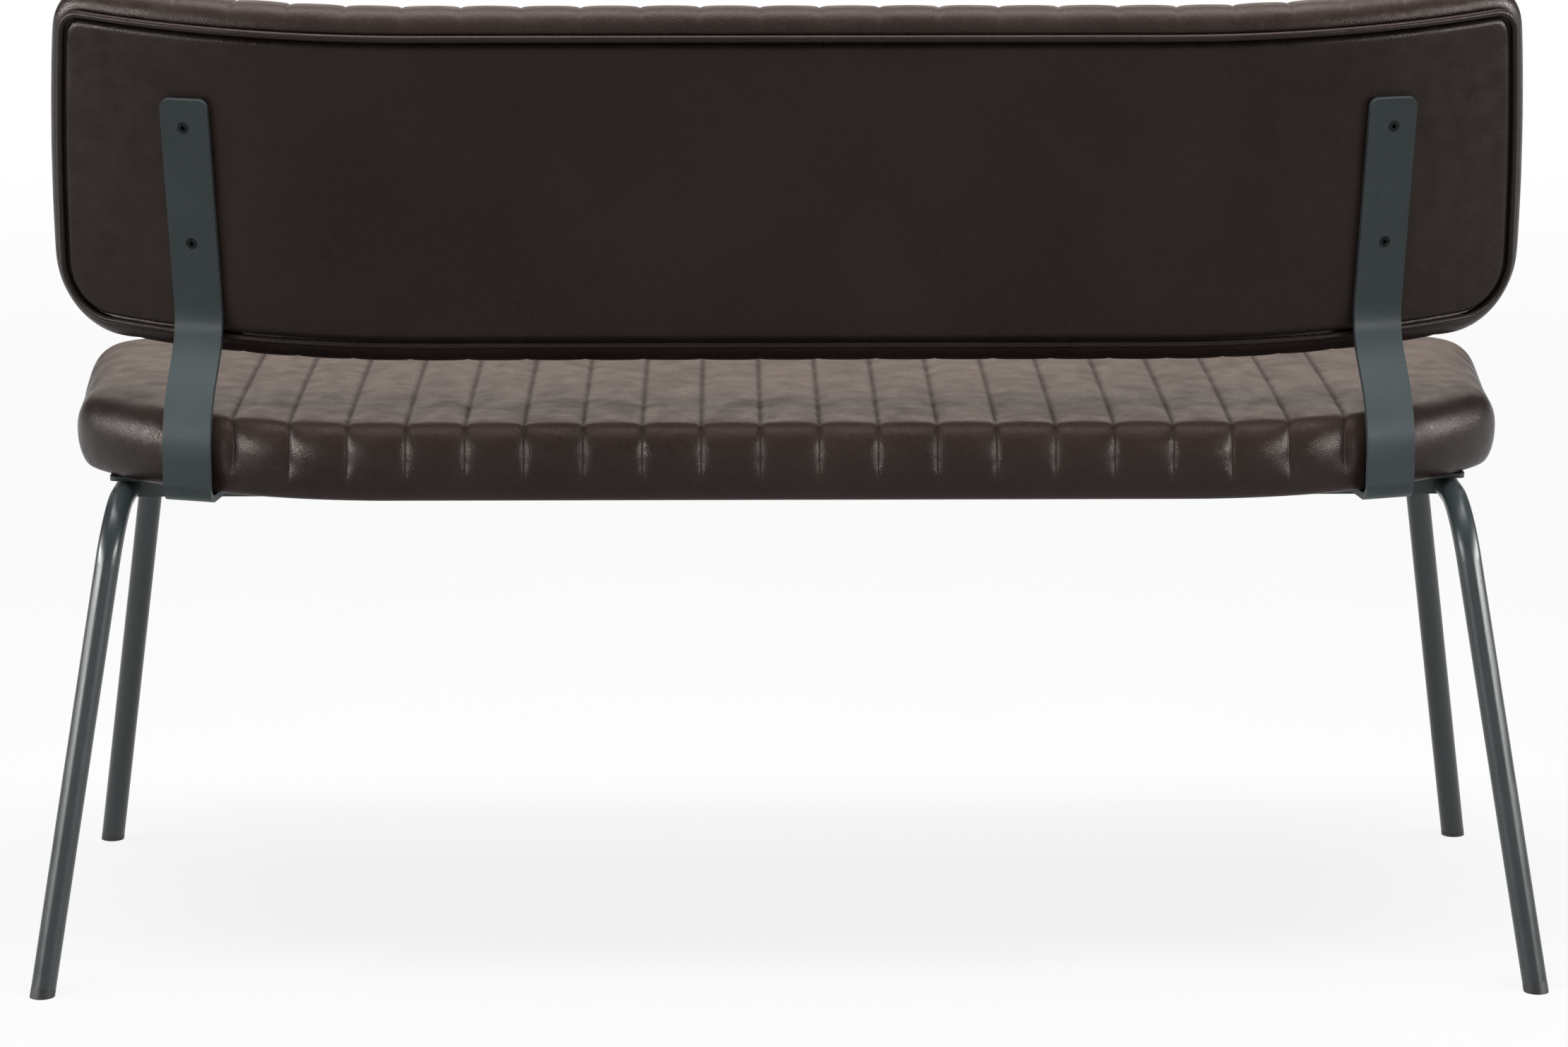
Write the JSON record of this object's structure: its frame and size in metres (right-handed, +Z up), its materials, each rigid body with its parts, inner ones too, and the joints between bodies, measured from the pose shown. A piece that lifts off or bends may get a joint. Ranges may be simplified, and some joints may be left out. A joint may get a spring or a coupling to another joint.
{
  "type": "upholstered dining bench",
  "caption": "Dining bench with a channel-quilted leather seat, a curved quilted backrest on bent flat steel straps, and splayed tubular steel legs",
  "frame": {"origin": "on the floor, at the middle of the overall box", "axes": "+X along the bench to the sitter's left, +Y to the rear, +Z up"},
  "size_m": [1.3016, 0.5168, 0.8474],
  "materials": {
    "leather": "soft sheen",
    "panel_leather": "soft sheen",
    "piping": "soft sheen",
    "foam": "matte",
    "board": "raw plywood",
    "lining": "matte",
    "frame_steel": "satin powder coat",
    "strap_steel": "satin powder coat",
    "foot_plastic": "matte",
    "fastener": "black oxide",
    "nut_zinc": "zinc plated"
  },
  "bodies": {
    "root": {"seat_cover": "leather", "back_cover": "leather", "back_panel": "panel_leather", "back_piping": "piping", "seat_foam": "foam", "back_foam": "foam", "seat_board": "board", "back_board": "board", "seat_lining": "lining", "left_side_frame": "frame_steel", "right_side_frame": "frame_steel", "front_rail": "frame_steel", "rear_rail": "frame_steel", "mount_plates": "frame_steel", "left_strap": "strap_steel", "right_strap": "strap_steel", "left_rear_cap": "foot_plastic", "right_rear_cap": "foot_plastic", "left_front_cap": "foot_plastic", "right_front_cap": "foot_plastic", "seat_bolts": "fastener", "strap_seat_bolts": "fastener", "strap_back_screws": "fastener", "seat_tnuts": "nut_zinc", "strap_seat_tnuts": "nut_zinc", "back_tnuts": "nut_zinc"}
  },
  "joints": []
}
